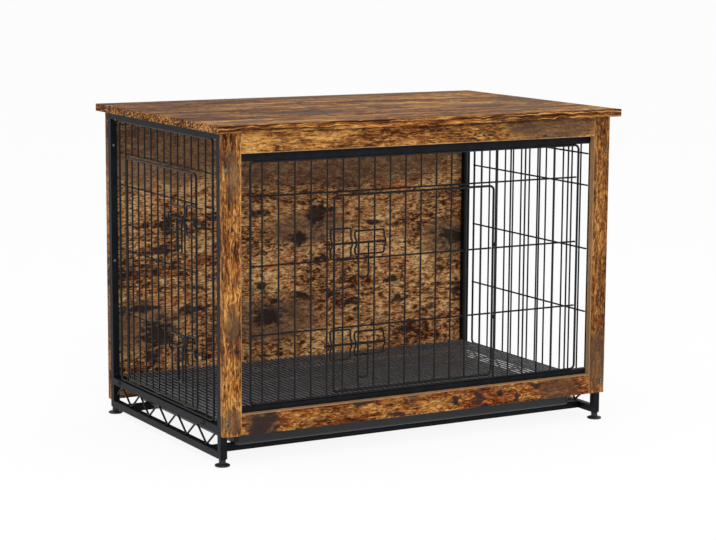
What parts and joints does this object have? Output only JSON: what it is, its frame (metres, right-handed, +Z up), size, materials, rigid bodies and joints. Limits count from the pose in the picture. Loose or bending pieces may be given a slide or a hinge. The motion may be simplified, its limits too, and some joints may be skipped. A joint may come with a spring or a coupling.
{
  "type": "dog crate end table",
  "caption": "Wire dog crate in a square steel tube frame with a wooden top, facade and back, bolted front and side doors, wire floor and a pull-out tray.",
  "frame": {"origin": "on the floor under the middle of the table top", "axes": "+X to the right along the front, +Z up, the front faces -Y"},
  "size_m": [0.98, 0.63, 0.7],
  "materials": {
    "rustic_board": "rustic brown printed wood grain, matt",
    "black_steel": "black powder coat, satin",
    "bolt_steel": "zinc plated",
    "black_plastic": "moulded black plastic",
    "grey_tray": "moulded dark grey plastic"
  },
  "bodies": {
    "crate": {"table_top": "rustic_board", "front_left_post": "rustic_board", "front_right_post": "rustic_board", "front_top_rail": "rustic_board", "front_bottom_rail": "rustic_board", "back_board": "rustic_board", "left_front_leg": "black_steel", "left_rear_leg": "black_steel", "left_bottom_tube": "black_steel", "left_middle_tube": "black_steel", "left_top_tube": "black_steel", "left_truss": "black_steel", "right_front_leg": "black_steel", "right_rear_leg": "black_steel", "right_bottom_tube": "black_steel", "right_middle_tube": "black_steel", "right_top_tube": "black_steel", "right_truss": "black_steel", "front_frame_left_tube": "black_steel", "front_frame_right_tube": "black_steel", "front_frame_top_tube": "black_steel", "front_frame_bottom_tube": "black_steel", "front_cross_bar": "black_steel", "rear_cross_bar": "black_steel", "rear_middle_tube": "black_steel", "front_panel_ring": "black_steel", "front_grille_left": "black_steel", "front_grille_right": "black_steel", "front_grille_top": "black_steel", "left_panel_ring": "black_steel", "left_grille_front": "black_steel", "left_grille_back": "black_steel", "left_grille_top": "black_steel", "right_panel_ring": "black_steel", "right_grille": "black_steel", "floor_grid": "black_steel", "latch_keepers": "black_steel", "facade_bolts": "bolt_steel", "back_bolts": "bolt_steel", "left_floor_bolts": "bolt_steel", "right_floor_bolts": "bolt_steel", "top_screws": "bolt_steel", "leg_plugs": "black_plastic"},
    "front_door": {"front_door_ring": "black_steel", "front_door_grille": "black_steel", "front_door_hinges": "black_steel", "front_door_bolt_guides": "black_steel"},
    "side_door": {"side_door_ring": "black_steel", "side_door_grille": "black_steel", "side_door_hinges": "black_steel", "side_door_bolt_guides": "black_steel"},
    "front_door_upper_bolt": {"front_door_upper_bolt": "black_steel"},
    "front_door_lower_bolt": {"front_door_lower_bolt": "black_steel"},
    "side_door_upper_bolt": {"side_door_upper_bolt": "black_steel"},
    "side_door_lower_bolt": {"side_door_lower_bolt": "black_steel"},
    "tray": {"tray": "grey_tray"},
    "left_front_foot": {"left_front_foot": "black_plastic"},
    "left_rear_foot": {"left_rear_foot": "black_plastic"},
    "right_front_foot": {"right_front_foot": "black_plastic"},
    "right_rear_foot": {"right_rear_foot": "black_plastic"}
  },
  "joints": [
    {"name": "front_door_hinge", "type": "hinge", "parent": "crate", "child": "front_door", "pos_m": [0.188, -0.279, 0.336], "axis": [0, 0, 1], "range_deg": [0, 165]},
    {"name": "side_door_hinge", "type": "hinge", "parent": "crate", "child": "side_door", "pos_m": [-0.465, 0.207, 0.3815], "axis": [0, 0, -1], "range_deg": [0, 165]},
    {"name": "front_door_upper_bolt_slide", "type": "slide", "parent": "front_door", "child": "front_door_upper_bolt", "axis": [1, 0, 0], "range_m": [0, 0.016]},
    {"name": "front_door_lower_bolt_slide", "type": "slide", "parent": "front_door", "child": "front_door_lower_bolt", "axis": [1, 0, 0], "range_m": [0, 0.016]},
    {"name": "side_door_upper_bolt_slide", "type": "slide", "parent": "side_door", "child": "side_door_upper_bolt", "axis": [0, 1, 0], "range_m": [0, 0.016]},
    {"name": "side_door_lower_bolt_slide", "type": "slide", "parent": "side_door", "child": "side_door_lower_bolt", "axis": [0, 1, 0], "range_m": [0, 0.016]},
    {"name": "tray_slide", "type": "slide", "parent": "crate", "child": "tray", "axis": [0, -1, 0], "range_m": [0, 0.42]},
    {"name": "left_front_foot_turn", "type": "hinge", "parent": "crate", "child": "left_front_foot", "pos_m": [-0.465, -0.2745, 0], "axis": [0, 0, 1], "continuous": true},
    {"name": "left_rear_foot_turn", "type": "hinge", "parent": "crate", "child": "left_rear_foot", "pos_m": [-0.465, 0.2805, 0], "axis": [0, 0, 1], "continuous": true},
    {"name": "right_front_foot_turn", "type": "hinge", "parent": "crate", "child": "right_front_foot", "pos_m": [0.465, -0.2745, 0], "axis": [0, 0, 1], "continuous": true},
    {"name": "right_rear_foot_turn", "type": "hinge", "parent": "crate", "child": "right_rear_foot", "pos_m": [0.465, 0.2805, 0], "axis": [0, 0, 1], "continuous": true}
  ]
}
